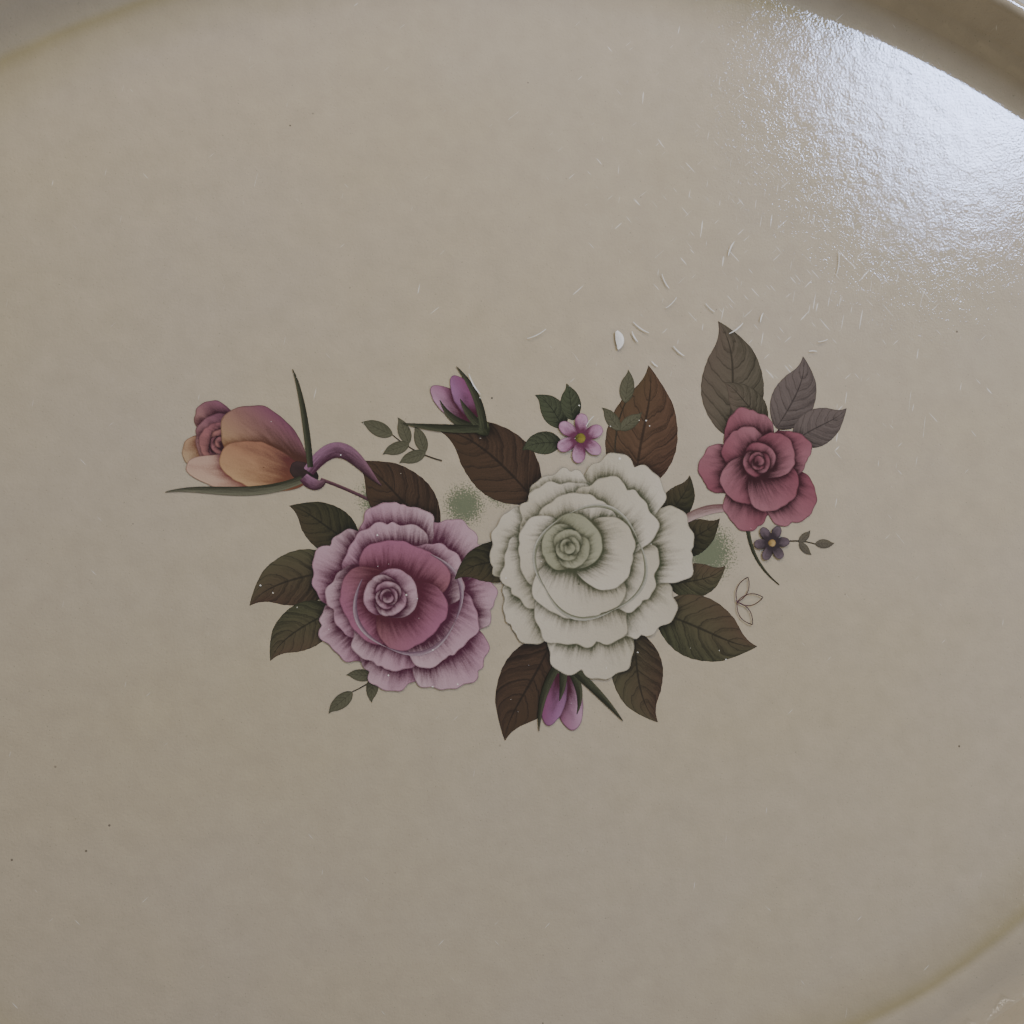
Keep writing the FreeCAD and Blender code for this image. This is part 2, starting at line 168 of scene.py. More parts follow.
enamel = {
    "putty": "#a59a86",
    "puttyWarm": "#a5997e",
    "creaseTone": "#95885f",
    # painted shade: a darker tone for the sloping wall beyond the crease
    "ledge": "#968b74",
    "speck": "#4a4238",
    "scuff": "#e2e0d8",
    "peelSize": 0.8,           # mm between the bumps of the orange peel
    "peelHeight": 0.07,       # mm
    "sagSize": 6.0,            # mm between the slower waves of the sprayed coat
    "sagHeight": 0.12,         # mm
    "specksEvery": 7.0,        # mm
    "scratchLength": 9.0,      # mm
    "scratchWidth": 0.35,      # mm
    "washGreen": "#4d5a3f",
    "washSpots": [(*around("mauveRose", 100, 1.15), 10), (*around("mauveRose", 55, 1.2), 9),
                  (*around("whiteRose", 135, 1.1), 9), (*around("whiteRose", 60, 1.05), 8),
                  (*around("whiteRose", 0, 1.15), 13), (*around("whiteRose", -115, 1.1), 9)],
    "washGrain": 0.55,         # mm between the dots of the green wash
}


def peelBump(tree, place, shader):
    # orange peel: fine bumps on slower waves: height = (peel + sag * ratio) * peelHeight
    atPlace = {"Vector": (place, "Object")}
    peel = addNode(tree, "TexNoise", inputs={"Scale": 1000 / enamel["peelSize"], "Detail": 2.0,
        "Roughness": 0.55},
                   links=atPlace)
    sag = addNode(tree, "TexNoise", inputs={"Scale": 1000 / enamel["sagSize"], "Detail": 1.0},
                  links=atPlace)
    ratio = enamel["sagHeight"] / enamel["peelHeight"]
    height = addNode(tree, "Math", {"operation": "MULTIPLY_ADD"}, {1: ratio},
        {0: (sag, "Fac"), 2: (peel, "Fac")})
    bump = addNode(tree, "Bump", inputs={"Strength": 1.0, "Distance": enamel["peelHeight"] * mm},
                   links={"Height": (height, "Value")})
    tree.links.new(bump.outputs["Normal"], shader.inputs["Normal"])
    tree.links.new(bump.outputs["Normal"], shader.inputs["Coat Normal"])
    shader.inputs["IOR"].default_value = 1.5
    shader.inputs["Coat Weight"].default_value = 1.0
    shader.inputs["Coat Roughness"].default_value = 0.05


def enamelMaterial():
    # stoving enamel sprayed on pressed steel: putty, glossy, with orange peel, dust specks,
    # a darker yellower band just inside the crease and painted shade on the sloping wall beyond it
    material, tree, shader = newMaterial("putty stoving enamel")
    place = addNode(tree, "TexCoord")
    atPlace = {"Vector": (place, "Object")}
    metric = addNode(tree, "VectorMath", {"operation": "MULTIPLY"},
                     {1: (1 / creaseHalf[0], 1 / creaseHalf[1], 0)}, {0: (place, "Object")})
    oval = addNode(tree, "VectorMath", {"operation": "LENGTH"}, links={0: (metric, "Vector")})
    cloud = addNode(tree, "TexNoise", inputs={"Scale": 9.0, "Detail": 4.0, "Roughness": 0.55},
                    links=atPlace)
    fine = addNode(tree, "TexNoise", inputs={"Scale": 120.0, "Detail": 3.0, "Roughness": 0.6},
                   links=atPlace)
    # warm and cool clouds of the old coat
    coat = addNode(tree, "ValToRGB", links={"Fac": (cloud, "Fac")},
        stops=[(0.30, toLinear(enamel["putty"])), (0.72, toLinear(enamel["puttyWarm"]))])
    # a darker, yellower band just inside the crease, its edge wavering with the clouds
    waver = addNode(tree, "Math", {"operation": "MULTIPLY_ADD"}, {1: 0.05, 2: -0.025},
                    {0: (cloud, "Fac")})
    edge = addNode(tree, "Math", {"operation": "ADD"}, links={0: (oval, "Value"), 1: (waver, "Value")})
    band = addNode(tree, "ValToRGB", links={"Fac": (edge, "Value")},
        stops=[(0.90, grey(0)), (0.965, grey(0.4)), (0.985, grey(0.85)), (1.0, grey(0.25))])
    yellow = addNode(tree, "Mix", {"data_type": "RGBA"}, {"B": toLinear(enamel["creaseTone"])},
                     {"Factor": (band, "Color"), "A": (coat, "Color")})
    # painted shade: beyond the crease the sloping wall takes a darker colour, in place of the wall turned
    # away from the light
    beyond = addNode(tree, "MapRange", inputs={"From Min": 0.99, "From Max": 1.02},
                     links={"Value": (edge, "Value")})
    ledge = addNode(tree, "Mix", {"data_type": "RGBA"}, {"B": toLinear(enamel["ledge"])},
                    {"Factor": (beyond, "Result"), "A": (yellow, "Result")})
    # dust specks baked into the coat
    dots = addNode(tree, "TexVoronoi", inputs={"Scale": 1000 / enamel["specksEvery"]},
                   links=atPlace)
    pick = addNode(tree, "SeparateColor", links={"Color": (dots, "Color")})
    dotSize = addNode(tree, "MapRange", inputs={"From Min": 0.4, "From Max": 1.0, "To Min": -0.02,
        "To Max": 0.055},
                      links={"Value": (pick, "Red")})
    isDot = addNode(tree, "Math", {"operation": "LESS_THAN"},
                    links={0: (dots, "Distance"), 1: (dotSize, "Result")})
    dotTone = addNode(tree, "Math", {"operation": "MULTIPLY"},
        links={0: (isDot, "Value"), 1: (pick, "Green")})
    specked = addNode(tree, "Mix", {"data_type": "RGBA"}, {"B": toLinear(enamel["speck"])},
                      {"Factor": (dotTone, "Value"), "A": (ledge, "Result")})
    # green stippled wash under the spray: a spot fades out from each centre, broken by the print's grain
    wash = None
    for x, y, reach in enamel["washSpots"]:
        away = addNode(tree, "VectorMath", {"operation": "DISTANCE"},
                       {1: (floorCentre.x + x * mm, floorCentre.y + y * mm, floorTop)},
                       {0: (place, "Object")})
        spot = addNode(tree, "MapRange", inputs={"From Min": reach * mm, "From Max": 0.15 * reach * mm},
                       links={"Value": (away, "Value")})
        wash = (spot, "Result") if wash is None else (addNode(tree, "Math", {"operation": "MAXIMUM"},
                                                             links={0: wash, 1: (spot, "Result")}), "Value")
    stipple = addNode(tree, "TexNoise", inputs={"Scale": 1000 / enamel["washGrain"], "Detail": 2.0},
                      links=atPlace)
    dense = addNode(tree, "Math", {"operation": "MULTIPLY_ADD"}, {1: 0.55}, {0: wash, 2: (stipple, "Fac")})
    dotted = addNode(tree, "MapRange", inputs={"From Min": 0.66, "From Max": 0.86, "To Max": 0.85},
        links={"Value": (dense, "Value")})
    # only the upper face is printed and scratched: 1 above the middle of the sheet, else 0
    height = addNode(tree, "SeparateXYZ", links=atPlace)
    upper = addNode(tree, "Math", {"operation": "GREATER_THAN"}, {1: floorTop - sheet / 2},
        {0: (height, "Z")})
    washShare = addNode(tree, "Math", {"operation": "MULTIPLY"},
        links={0: (dotted, "Result"), 1: (upper, "Value")})
    washed = addNode(tree, "Mix", {"data_type": "RGBA"}, {"B": toLinear(enamel["washGreen"])},
                     {"Factor": (washShare, "Value"), "A": (specked, "Result")})
    # fine pale scratches from cleaning, in three directions, thickest on the far right of the floor
    worn = addNode(tree, "VectorMath", {"operation": "DISTANCE"},
                   {1: (floorCentre.x + 0.11, floorCentre.y + 0.09, floorTop)}, {0: (place, "Object")})
    wornMap = addNode(tree, "MapRange", inputs={"From Min": 0.11, "From Max": 0.03, "To Min": -0.05,
        "To Max": 0.035},
                      links={"Value": (worn, "Value")})
    scratch = None
    for turn in (38, -52, 75):
        along = addNode(tree, "Mapping", {"vector_type": "TEXTURE"},
                        {"Rotation": (0, 0, radians(turn)), "Scale": (enamel["scratchLength"] * mm,
                            enamel["scratchWidth"] * 2 * mm, 1)},
                        atPlace)
        line = addNode(tree, "TexNoise", inputs={"Scale": 1.0, "Detail": 1.0},
            links={"Vector": (along, "Vector")})
        scratch = (line, "Fac") if scratch is None else (addNode(tree, "Math", {"operation": "MAXIMUM"},
                                                                links={0: scratch, 1: (line, "Fac")}),
                                                                "Value")
    cut = addNode(tree, "Math", {"operation": "ADD"}, links={0: scratch, 1: (wornMap, "Result")})
    scratched = addNode(tree, "MapRange", inputs={"From Min": 0.76, "From Max": 0.80, "To Max": 0.5},
        links={"Value": (cut, "Value")})
    scuffShare = addNode(tree, "Math", {"operation": "MULTIPLY"},
        links={0: (scratched, "Result"), 1: (upper, "Value")})
    marked = addNode(tree, "Mix", {"data_type": "RGBA"}, {"B": toLinear(enamel["scuff"])},
                     {"Factor": (scuffShare, "Value"), "A": (washed, "Result")})
    mottle = addNode(tree, "MapRange", inputs={"From Min": 0.3, "From Max": 0.7, "To Min": 0.95,
        "To Max": 1.04},
                     links={"Value": (fine, "Fac")})
    final = addNode(tree, "VectorMath", {"operation": "SCALE"},
                    links={0: (marked, "Result"), "Scale": (mottle, "Result")})
    tree.links.new(final.outputs["Vector"], shader.inputs["Base Color"])
    peelBump(tree, place, shader)
    gloss = addNode(tree, "MapRange", inputs={"From Min": 0.3, "From Max": 0.7, "To Min": 0.05,
        "To Max": 0.09},
                    links={"Value": (cloud, "Fac")})
    tree.links.new(gloss.outputs["Result"], shader.inputs["Roughness"])
    return material


enamelCoat = enamelMaterial()


# finishes of the stand

finishes = {
    "brassed tube": {"colour": "#b29a6c", "second": "#a2895a", "stain": "#6a5228", "stainShare": 0.70,
        "patch": 18.0,
                     "roughFrom": 0.22, "roughTo": 0.34, "grain": 0.35, "grainHeight": 0.002},
    "brassed rod": {"colour": "#ad966a", "second": "#987f54", "stain": "#5f4a28", "stainShare": 0.69,
        "patch": 12.0,
                    "roughFrom": 0.24, "roughTo": 0.38, "grain": 0.30, "grainHeight": 0.003},
    "zinc plated spring steel": {"colour": "#a4a6a5", "second": "#8b8d8b", "stain": "#6a5f4e",
        "stainShare": 0.68, "patch": 5.0,
                                 "roughFrom": 0.26, "roughTo": 0.44, "grain": 0.25, "grainHeight": 0.010},
    "zinc plated rivet steel": {"colour": "#b0b1ae", "second": "#94958f", "stain": "#70614a",
        "stainShare": 0.66, "patch": 3.0,
                                "roughFrom": 0.22, "roughTo": 0.38, "grain": 0.25, "grainHeight": 0.008},
}


def platedMetal(name):
    # plated and lacquered steel: two close tones in patches, brown stains where the lacquer has gone,
    # a fine grain that blurs its reflections; colour = patches over noise, roughness follows the patches
    look = finishes[name]
    material, tree, shader = newMaterial(name)
    place = addNode(tree, "TexCoord")
    atPlace = {"Vector": (place, "Object")}
    patch = addNode(tree, "TexNoise", inputs={"Scale": 1000 / look["patch"], "Detail": 5.0,
        "Roughness": 0.62},
                    links=atPlace)
    tone = addNode(tree, "ValToRGB", links={"Fac": (patch, "Fac")},
        stops=[(0.35, toLinear(look["colour"])), (0.60, toLinear(look["second"]))])
    spots = addNode(tree, "TexNoise", inputs={"Scale": 3500 / look["patch"], "Detail": 6.0, "Roughness": 0.7},
                    links=atPlace)
    stain = addNode(tree, "MapRange", inputs={"From Min": look["stainShare"],
        "From Max": look["stainShare"] + 0.05, "To Max": 0.8},
                    links={"Value": (spots, "Fac")})
    coloured = addNode(tree, "Mix", {"data_type": "RGBA"}, {"B": toLinear(look["stain"])},
                       {"Factor": (stain, "Result"), "A": (tone, "Color")})
    tree.links.new(coloured.outputs["Result"], shader.inputs["Base Color"])
    shader.inputs["Metallic"].default_value = 1.0
    smooth = addNode(tree, "MapRange", inputs={"From Min": 0.3, "From Max": 0.7,
        "To Min": look["roughFrom"], "To Max": look["roughTo"]},
                     links={"Value": (patch, "Fac")})
    rough = addNode(tree, "Math", {"operation": "MULTIPLY_ADD"}, {1: 0.3},
        {0: (stain, "Result"), 2: (smooth, "Result")})
    tree.links.new(rough.outputs["Value"], shader.inputs["Roughness"])
    grain = addNode(tree, "TexNoise", inputs={"Scale": 1000 / look["grain"], "Detail": 2.0}, links=atPlace)
    bump = addNode(tree, "Bump", inputs={"Strength": 1.0, "Distance": look["grainHeight"] * mm},
        links={"Height": (grain, "Fac")})
    tree.links.new(bump.outputs["Normal"], shader.inputs["Normal"])
    return material


plastics = {
    "moulded vinyl": {"colour": "#d3ccba", "dirt": "#6f6656", "dirtShare": 0.60, "dirtTop": 12.0,
        "rough": (0.42, 0.62), "grain": 0.5, "grainHeight": 0.03, "glow": 0.05},
    "turned nylon": {"colour": "#dcd8ca", "dirt": "#8a8372", "dirtShare": 0.60, "dirtTop": 0.0,
        "rough": (0.32, 0.48), "grain": 0.4, "grainHeight": 0.015, "glow": 0.1},
    "putty enamel on steel": {"colour": "#ada38f", "dirt": "#5c5548", "dirtShare": 0.64, "dirtTop": 0.0,
        "rough": (0.12, 0.26), "grain": 1.2, "grainHeight": 0.04, "glow": 0.0},
}


def softFinish(name):
    # a dull or painted skin: one colour mottled by noise, grime in specks and, on a foot, thick near the
    # floor (share of grime = specks + 1 - height / dirtTop), pitted by a fine bump
    look = plastics[name]
    material, tree, shader = newMaterial(name)
    place = addNode(tree, "TexCoord")
    atPlace = {"Vector": (place, "Object")}
    cloud = addNode(tree, "TexNoise", inputs={"Scale": 160.0, "Detail": 5.0, "Roughness": 0.65},
        links=atPlace)
    height = addNode(tree, "SeparateXYZ", links=atPlace)
    low = addNode(tree, "MapRange", inputs={"From Min": 0.0, "From Max": max(look["dirtTop"], 0.001) * mm,
        "To Min": 0.22, "To Max": 0.0},
                  links={"Value": (height, "Z")})
    grime = addNode(tree, "Math", {"operation": "ADD"}, links={0: (cloud, "Fac"), 1: (low, "Result")})
    share = addNode(tree, "MapRange", inputs={"From Min": look["dirtShare"],
        "From Max": look["dirtShare"] + 0.25, "To Max": 0.75},
                    links={"Value": (grime, "Value")})
    mixed = addNode(tree, "Mix", {"data_type": "RGBA"},
        {"A": toLinear(look["colour"]), "B": toLinear(look["dirt"])},
                    {"Factor": (share, "Result")})
    tree.links.new(mixed.outputs["Result"], shader.inputs["Base Color"])
    rough = addNode(tree, "MapRange", inputs={"From Min": 0.3, "From Max": 0.7, "To Min": look["rough"][0],
        "To Max": look["rough"][1]},
                    links={"Value": (cloud, "Fac")})
    tree.links.new(rough.outputs["Result"], shader.inputs["Roughness"])
    grain = addNode(tree, "TexNoise", inputs={"Scale": 1000 / look["grain"], "Detail": 2.0}, links=atPlace)
    bump = addNode(tree, "Bump", inputs={"Strength": 1.0, "Distance": look["grainHeight"] * mm},
        links={"Height": (grain, "Fac")})
    tree.links.new(bump.outputs["Normal"], shader.inputs["Normal"])
    shader.inputs["IOR"].default_value = 1.5
    shader.inputs["Subsurface Weight"].default_value = look["glow"]
    shader.inputs["Subsurface Scale"].default_value = 0.002
    return material


made = {name: platedMetal(name) for name in finishes} | {name: softFinish(name) for name in plastics}
finishFor = {       # which CAD pieces take which finish, by a word in their names
    "leg_frame": "brassed tube", "stretcher": "brassed rod", "foot_tip": "moulded vinyl",
    "spacer": "turned nylon",
    "knuckle": "putty enamel on steel", "clip": "zinc plated spring steel",
    "rivet": "zinc plated rivet steel", "washer": "zinc plated rivet steel",
}
for nodeName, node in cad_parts.items():
    finish = next((made[kind] for word, kind in finishFor.items() if word in nodeName), enamelCoat)
    node.data.materials.clear()
    node.data.materials.append(finish)
print("finishes on", len(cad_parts), "pieces")


# printed rose spray, laid on the floor of the tray as thin layers of ink

layerStep = 0.003 * mm     # thickness of one printed layer
layerCount = [0]
inkDensity = 1.42          # how much deeper a fired ink is than its swatch
petalPinch = 0.3           # how far a petal draws in at its foot


def onTray(x, y):
    # millimetres in the tray's plane to metres, on top of every layer printed before
    layerCount[0] += 1
    z = np.full(x.shape, floorTop + layerStep * layerCount[0])
    return np.stack([floorCentre.x + x * mm, floorCentre.y + y * mm, z], -1)


def inkField(hexes, shape, share):
    # colour over a grid: first hex where share is 0, last hex where it is 1
    first, last = np.array(toLinear(hexes[0])) ** inkDensity, np.array(toLinear(hexes[-1])) ** inkDensity
    share = np.broadcast_to(np.clip(share, 0, 1), shape)[..., None]
    return first * (1 - share) + last * share


def petalOutline(angle, half, side, look, seed):
    # ellipse(half, side) * (1 + ruffle waves near the tip - one notch)
    radius = 1 / np.sqrt((np.cos(angle) / half) ** 2 + (np.sin(angle) / side) ** 2)
    nearTip = np.clip(np.cos(angle) + 0.55, 0, 1)
    waves = sum(height * np.sin(count * angle + own * seed)
                for height, count, own in ((0.55, 4, 1.0), (0.35, 7, 2.3), (0.25, 13, 1.7)))
    turned = (angle - 0.7 * sin(3 * seed) + pi) % (2 * pi) - pi
    notch = np.exp(-(turned / 0.09) ** 2)
    ruffle = look.get("ruffle", 0.06)
    return radius * (1 + ruffle * (waves * nearTip - 0.9 * notch))


def squeeze(a, half):
    # sideways scale of a petal: 1 at its tip, 1 - pinch at its foot
    return 1 - petalPinch * np.clip(0.5 - 0.5 * a / half, 0, 1) ** 1.5


def petalSeed(x, y):
    # a number that differs from petal to petal, so no two edges wave alike
    return x * 0.37 + y * 0.61


def shadeUnder(x, y, above, reach):
    # 1 under the edge of a petal that lies above, fading as exp(-distance / reach) away from it
    shade = np.zeros(np.shape(x))
    for px, py, half, side, heading, look in above:
        turn = radians(heading)
        a = (x - px) * cos(turn) + (y - py) * sin(turn)
        b = -(x - px) * sin(turn) + (y - py) * cos(turn)
        b = b / squeeze(a, half)
        outside = np.hypot(a, b) - petalOutline(np.arctan2(b, a), half, side, look, petalSeed(px, py))
        shade = np.maximum(shade, np.exp(-np.clip(outside, 0, None) / reach))
    return shade


def petal(x, y, half, side, heading, look, above):
    # rings from the petal's middle (0) to its outline (1), squeezed at the foot
    ring = np.linspace(0.02, 1, 22)[:, None]
    angle = np.linspace(0, 2 * pi, 100, endpoint=False)[None, :]
    seed = petalSeed(x, y)
    radius = petalOutline(angle, half, side, look, seed)
    a = ring * radius * np.cos(angle)
    b = ring * radius * np.sin(angle) * squeeze(a, half)
    a = a + look.get("point", 0.0) * half * np.clip(np.cos(angle), 0, 1) ** 12 * ring
    fromFoot = np.hypot(a + half, b)
    fade = (fromFoot / (2 * half)) ** look.get("power", 1.0)
    rim = look.get("rim", 0.9) * ring ** 8 * (0.3 + 0.7 * np.cos(angle / 2) ** 2)
    fold = look.get("fold", 0.10) * np.cos(2.2 * pi * b / side + seed) * ring
    fade = np.maximum(fade, rim) + look.get("lift", 0.0) + fold
    turn = radians(heading)
    px, py = x + a * cos(turn) - b * sin(turn), y + a * sin(turn) + b * cos(turn)
    fade = fade - look.get("overlap", 0.55) * shadeUnder(px, py, above, look.get("reach", 1.7))
    stroke = np.stack([np.arctan2(b, a + 1.9 * half) * side / 2.2, a / half, np.full(a.shape, seed)], -1)
    across = look.get("across", pi / 2)
    share = 0.5 + 0.5 * (b * sin(across) / side + a * cos(across) / half)
    return {"points": onTray(px, py)[::-1], "closed": True, "data": {
        "fade": fade[::-1], "edge": ((1 - ring) * radius)[::-1], "stroke": stroke[::-1],
        "inkPale": inkField(look["pale"], a.shape, share)[::-1],
        "inkDeep": inkField(look["deep"], a.shape, share)[::-1]}}


def whorl(x, y, radius, heading, turns, look):
    # heart of a rose: each petal 0.8 of the one before, turned by 140 degrees and set off its middle
    return [(x + 0.2 * radius * 0.8 ** k * cos(radians(heading + 140 * k)),
        y + 0.2 * radius * 0.8 ** k * sin(radians(heading + 140 * k)),
             radius * 0.8 ** k * 0.88, radius * 0.8 ** k, heading + 140 * k, look) for k in range(turns)]


def leaf(base, tip, half, look, bend, above):
    # midrib: base to tip, bowed sideways and curled at the tip
    # half width: half * sin(pi v^0.8)^0.82, drawn in at the tip, with fine teeth
    v = np.linspace(0, 1, 46)[:, None]
    u = np.linspace(-1, 1, 15)[None, :]
    along = np.array(tip) - np.array(base)
    length = np.hypot(*along)
    along = along / length
    across = np.array([-along[1], along[0]])
    width = half * np.sin(pi * v ** 0.8) ** 0.82 * (1 - 0.6 * np.clip((v - 0.72) / 0.28, 0,
        1) ** 1.3) + 0.02 * half * (1 - v)
    teeth = 1 + look.get("teeth", 0.02) * (np.abs(((v * 11 + 0.25 * u) % 1) - 0.5) * 2 - 0.5) * np.abs(u) ** 6
    bow = bend * length * (0.9 * v * (1 - v) + 0.7 * v ** 6 * np.sign(bend))
    slope = np.gradient(bow[:, 0], v[:, 0])[:, None] / length
    s = v * length - slope * u * width * teeth
    t = bow + u * width * teeth
    px, py = base[0] + s * along[0] + t * across[0], base[1] + s * along[1] + t * across[1]
    placed = onTray(px, py)
    seed = base[0] * 0.7 + base[1] * 0.3
    shape = placed.shape[:2]
    stroke = np.stack([np.broadcast_to(u, shape), np.broadcast_to(v, shape), np.full(shape, seed)], -1)
    share = 0.5 + 0.3 * u + 0.4 * (v - 0.5)
    return {"points": placed, "data": {
        "fade": 0.5 + 0.22 * u * look.get("lightSide", 1) + 0.15 * v - 0.5 * shadeUnder(px, py, above, 1.6),
        "edge": np.broadcast_to((1 - np.abs(u)) * width, shape), "stroke": stroke,
        "inkPale": inkField(look["pale"], shape, share), "inkDeep": inkField(look["deep"], shape, share)}}


def stemLine(path, widths, look, steps=60):
    # ribbon whose middle is a quadratic or cubic Bezier curve and whose width runs evenly from first to last
    p = np.array(path, float)
    t = np.linspace(0, 1, steps)[:, None]
    if len(p) == 3:
        line = (1 - t) ** 2 * p[0] + 2 * t * (1 - t) * p[1] + t ** 2 * p[2]
    else:
        line = (1 - t) ** 3 * p[0] + 3 * t * (1 - t) ** 2 * p[1] + 3 * t ** 2 * (1 - t) * p[2] + t ** 3 * p[3]
    run = np.gradient(line, axis=0)
    run = run / np.hypot(run[:, :1], run[:, 1:])
    normal = np.stack([-run[:, 1], run[:, 0]], -1)
    u = np.linspace(-1, 1, 5)[None, :, None]
    width = (widths[0] * (1 - t) + widths[-1] * t) / 2
    if len(widths) == 3:
        width = ((1 - t) ** 2 * widths[0] + 2 * t * (1 - t) * widths[1] + t ** 2 * widths[2]) / 2
    flat = line[:, None, :] + normal[:, None, :] * width[:, None, :] * u
    shape = flat.shape[:2]
    seed = p[0, 0] * 0.3
    stroke = np.stack([np.broadcast_to(u[..., 0], shape), np.broadcast_to(t, shape) * 3,
        np.full(shape, seed)], -1)
    return {"points": onTray(flat[..., 0], flat[..., 1]), "data": {
        "fade": np.broadcast_to(0.45 + 0.35 * u[..., 0], shape),
        "edge": np.broadcast_to((1 - np.abs(u[..., 0])) * width, shape) + 0.15,
        "stroke": stroke, "inkPale": inkField(look["pale"], shape, t[:, 0][:, None]),
        "inkDeep": inkField(look["deep"], shape, t[:, 0][:, None])}}


inks = {
    "lineWidth": 0.26,         # mm, drawn round each petal
    "strokePitch": 0.42,       # mm between the engraver's strokes
    "grain": 0.35,             # mm, screen of the print
    "veins": 6.5,              # side veins to each half of a leaf
    "worn": 3.4,               # mm between worn flecks
    "fleck": "#cfccc0",
}


def printedInk(name, forLeaf):
    # ceramic transfer ink under the enamel's gloss: engraved strokes and screen grain between a deep
    # and a pale tone, a thin dark line round each shape and small worn flecks
    material, tree, shader = newMaterial(name)
    place = addNode(tree, "TexCoord")
    atPlace = {"Vector": (place, "Object")}
    pale, deep, fade, edge, stroke = [addNode(tree, "Attribute", {"attribute_name": word})
                                      for word in ("inkPale", "inkDeep", "fade", "edge", "stroke")]
    grain = addNode(tree, "TexNoise", inputs={"Scale": 1000 / inks["grain"], "Detail": 1.0},
                    links=atPlace)
    if forLeaf:
        parts = addNode(tree, "SeparateXYZ", links={"Vector": (stroke, "Vector")})
        out = addNode(tree, "Math", {"operation": "ABSOLUTE"}, links={0: (parts, "X")})
        bow = addNode(tree, "Math", {"operation": "POWER"}, {1: 1.3}, {0: (out, "Value")})
        back = addNode(tree, "Math", {"operation": "MULTIPLY"}, {1: -0.27}, {0: (bow, "Value")})
        shift = addNode(tree, "Math", {"operation": "ADD"}, links={0: (parts, "Y"), 1: (back, "Value")})
        wobble = addNode(tree, "TexNoise", inputs={"Scale": 3.5}, links={"Vector": (stroke, "Vector")})
        shifted = addNode(tree, "Math", {"operation": "MULTIPLY_ADD"}, {1: 0.09},
            {0: (wobble, "Fac"), 2: (shift, "Value")})
        phase = addNode(tree, "Math", {"operation": "MULTIPLY"}, {1: inks["veins"]}, {0: (shifted, "Value")})
        saw = addNode(tree, "Math", {"operation": "FRACT"}, links={0: (phase, "Value")})
        hatchAt = addNode(tree, "CombineXYZ", links={"X": (phase, "Value"), "Y": (out, "Value"),
            "Z": (parts, "Z")})
        hatchScale = addNode(tree, "VectorMath", {"operation": "MULTIPLY"}, {1: (7.0, 1.6, 1.0)},
            {0: (hatchAt, "Vector")})
        lines = addNode(tree, "TexNoise", inputs={"Scale": 1.0, "Detail": 2.0},
            links={"Vector": (hatchScale, "Vector")})
        veinDark = addNode(tree, "ValToRGB", links={"Fac": (saw, "Value")},
            stops=[(0.0, grey(0.9)), (0.05, grey(0.1)), (0.2, grey(0)), (0.92, grey(0.1)), (1.0, grey(0.9))])
        midrib = addNode(tree, "MapRange", inputs={"From Min": 0.02, "From Max": 0.055, "To Min": 1.0,
            "To Max": 0.0},
                         links={"Value": (out, "Value")})
        line = addNode(tree, "Math", {"operation": "MAXIMUM"},
            links={0: (veinDark, "Color"), 1: (midrib, "Result")})
        between = addNode(tree, "Math", {"operation": "MULTIPLY_ADD"}, {1: 0.28},
            {0: (saw, "Value"), 2: (fade, "Fac")})
    else:
        scaled = addNode(tree, "VectorMath", {"operation": "MULTIPLY"},
            {1: (1.0 / inks["strokePitch"] * 1.6, 1.3, 1.0)},
                         {0: (stroke, "Vector")})
        lines = addNode(tree, "TexNoise", inputs={"Scale": 1.0, "Detail": 2.5, "Roughness": 0.6,
            "Distortion": 0.2},
                        links={"Vector": (scaled, "Vector")})
        between = fade
    tone = addNode(tree, "Math", {"operation": "MULTIPLY_ADD"}, {1: 0.75},
                   {0: (lines, "Fac"), 2: (between, "Fac" if between is fade else "Value")})
    grained = addNode(tree, "Math", {"operation": "MULTIPLY_ADD"}, {1: 0.30},
        {0: (grain, "Fac"), 2: (tone, "Value")})
    level = addNode(tree, "MapRange", {"interpolation_type": "SMOOTHSTEP"},
        {"From Min": 0.58, "From Max": 1.5},
                    {"Value": (grained, "Value")})
    ink = addNode(tree, "Mix", {"data_type": "RGBA"},
        links={"Factor": (level, "Result"), "A": (deep, "Color"), "B": (pale, "Color")})
    darker = addNode(tree, "VectorMath", {"operation": "SCALE"}, {"Scale": 0.7}, {0: (deep, "Color")})
    ringWidth = addNode(tree, "Math", {"operation": "MULTIPLY"}, {1: inks["lineWidth"] * 2},
        {0: (lines, "Fac")})
    outer = addNode(tree, "Math", {"operation": "LESS_THAN"},
        links={0: (edge, "Fac"), 1: (ringWidth, "Value")})
    weight = addNode(tree, "Math", {"operation": "MULTIPLY"}, {1: 0.45}, {0: (outer, "Value")})
    if forLeaf:
        veinWeight = addNode(tree, "Math", {"operation": "MULTIPLY"}, {1: 0.75}, {0: (line, "Value")})
        weight = addNode(tree, "Math", {"operation": "MAXIMUM"},
            links={0: (weight, "Value"), 1: (veinWeight, "Value")})
    drawn = addNode(tree, "Mix", {"data_type": "RGBA"},
        links={"Factor": (weight, "Value"), "A": (ink, "Result"), "B": (darker, "Vector")})
    flecks = addNode(tree, "TexVoronoi", inputs={"Scale": 1000 / inks["worn"]}, links=atPlace)
    patch = addNode(tree, "TexNoise", inputs={"Scale": 38.0}, links=atPlace)
    size = addNode(tree, "MapRange", inputs={"From Min": 0.5, "From Max": 0.72, "To Min": 0.0,
        "To Max": 0.11},
                   links={"Value": (patch, "Fac")})
    ragged = addNode(tree, "Math", {"operation": "MULTIPLY_ADD"}, {1: 0.10},
        {0: (grain, "Fac"), 2: (flecks, "Distance")})
    shifted = addNode(tree, "Math", {"operation": "ADD"}, {1: 0.05}, {0: (size, "Result")})
    isFleck = addNode(tree, "Math", {"operation": "LESS_THAN"},
        links={0: (ragged, "Value"), 1: (shifted, "Value")})
    final = addNode(tree, "Mix", {"data_type": "RGBA"}, {"B": toLinear(inks["fleck"])},
                    {"Factor": (isFleck, "Value"), "A": (drawn, "Result")})
    tree.links.new(final.outputs["Result"], shader.inputs["Base Color"])
    peelBump(tree, place, shader)
    shader.inputs["Roughness"].default_value = 0.08
    return material


